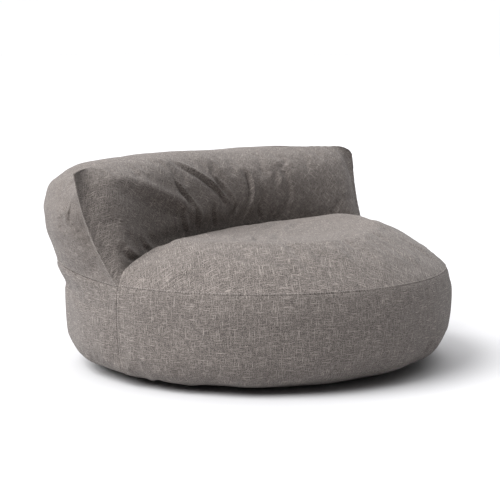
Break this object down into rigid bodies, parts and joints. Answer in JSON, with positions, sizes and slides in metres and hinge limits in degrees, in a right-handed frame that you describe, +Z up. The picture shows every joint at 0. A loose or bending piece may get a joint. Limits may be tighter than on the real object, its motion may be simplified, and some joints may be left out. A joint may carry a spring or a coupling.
{
  "type": "bean bag chair",
  "caption": "Low round bean bag seat in linen-look cloth, with a D-shaped backrest sewn on its rear half and zipped bead bags inside.",
  "frame": {"origin": "centre of the flat circle of the base panel, on the floor", "axes": "+Z up, the sitter faces -Y, the backrest stands at +Y, +X across the chair"},
  "size_m": [0.9686, 0.9436, 0.479],
  "materials": {
    "cover_cloth": "taupe linen-look plain weave with slubs",
    "base_cloth": "dark hard-wearing base cloth",
    "zip_tape": "woven zip tape",
    "zip_coil": "nylon coil teeth",
    "liner_zip_tape": "white woven zip tape",
    "liner_zip_coil": "white nylon coil teeth",
    "zip_metal": "painted zinc alloy",
    "liner_cloth": "white polyester liner cloth",
    "foam_beads": "loose white foam beads",
    "label_ribbon": "blank white satin ribbon"
  },
  "bodies": {
    "chair": {"backrest_back_panel": "cover_cloth", "backrest_bead_fill": "foam_beads", "backrest_front_panel": "cover_cloth", "backrest_liner": "liner_cloth", "backrest_liner_zip_lower_coil": "liner_zip_coil", "backrest_liner_zip_lower_tape": "liner_zip_tape", "backrest_liner_zip_stops": "liner_zip_coil", "backrest_liner_zip_upper_coil": "liner_zip_coil", "backrest_liner_zip_upper_tape": "liner_zip_tape", "base_panel": "base_cloth", "care_label": "label_ribbon", "cover_zip_lower_coil": "zip_coil", "cover_zip_lower_tape": "zip_tape", "cover_zip_stops": "zip_coil", "cover_zip_upper_coil": "zip_coil", "cover_zip_upper_tape": "zip_tape", "front_side_band": "cover_cloth", "rear_side_band": "cover_cloth", "seat_bead_fill": "foam_beads", "seat_liner_base": "liner_cloth", "seat_liner_side": "liner_cloth", "seat_liner_top": "liner_cloth", "seat_liner_zip_lower_coil": "liner_zip_coil", "seat_liner_zip_lower_tape": "liner_zip_tape", "seat_liner_zip_stops": "liner_zip_coil", "seat_liner_zip_upper_coil": "liner_zip_coil", "seat_liner_zip_upper_tape": "liner_zip_tape", "seat_top_panel": "cover_cloth"},
    "cover_zip_slider": {"cover_zip_slider": "zip_metal"},
    "cover_zip_pull": {"cover_zip_pull": "zip_metal"},
    "seat_liner_zip_slider": {"seat_liner_zip_slider": "zip_metal"},
    "backrest_liner_zip_slider": {"backrest_liner_zip_slider": "zip_metal"}
  },
  "joints": [
    {"name": "cover_zip_slide_round", "type": "hinge", "parent": "chair", "child": "cover_zip_slider", "pos_m": [0, 0, 0.06251], "axis": [0, 0, 1], "range_deg": [0, 81.94]},
    {"name": "seat_liner_zip_slide_round", "type": "hinge", "parent": "chair", "child": "seat_liner_zip_slider", "pos_m": [0, 0, 0.15487], "axis": [0, 0, 1], "range_deg": [0, 67.95]},
    {"name": "backrest_liner_zip_slide_round", "type": "hinge", "parent": "chair", "child": "backrest_liner_zip_slider", "pos_m": [0, 0, 0.34438], "axis": [0, 0, 1], "range_deg": [0, 48.13]},
    {"name": "cover_zip_pull_swing", "type": "hinge", "parent": "cover_zip_slider", "child": "cover_zip_pull", "pos_m": [0.28968, 0.33359, 0.06159], "axis": [-0.2242, -0.2582, -0.9397], "range_deg": [0, 170]}
  ]
}
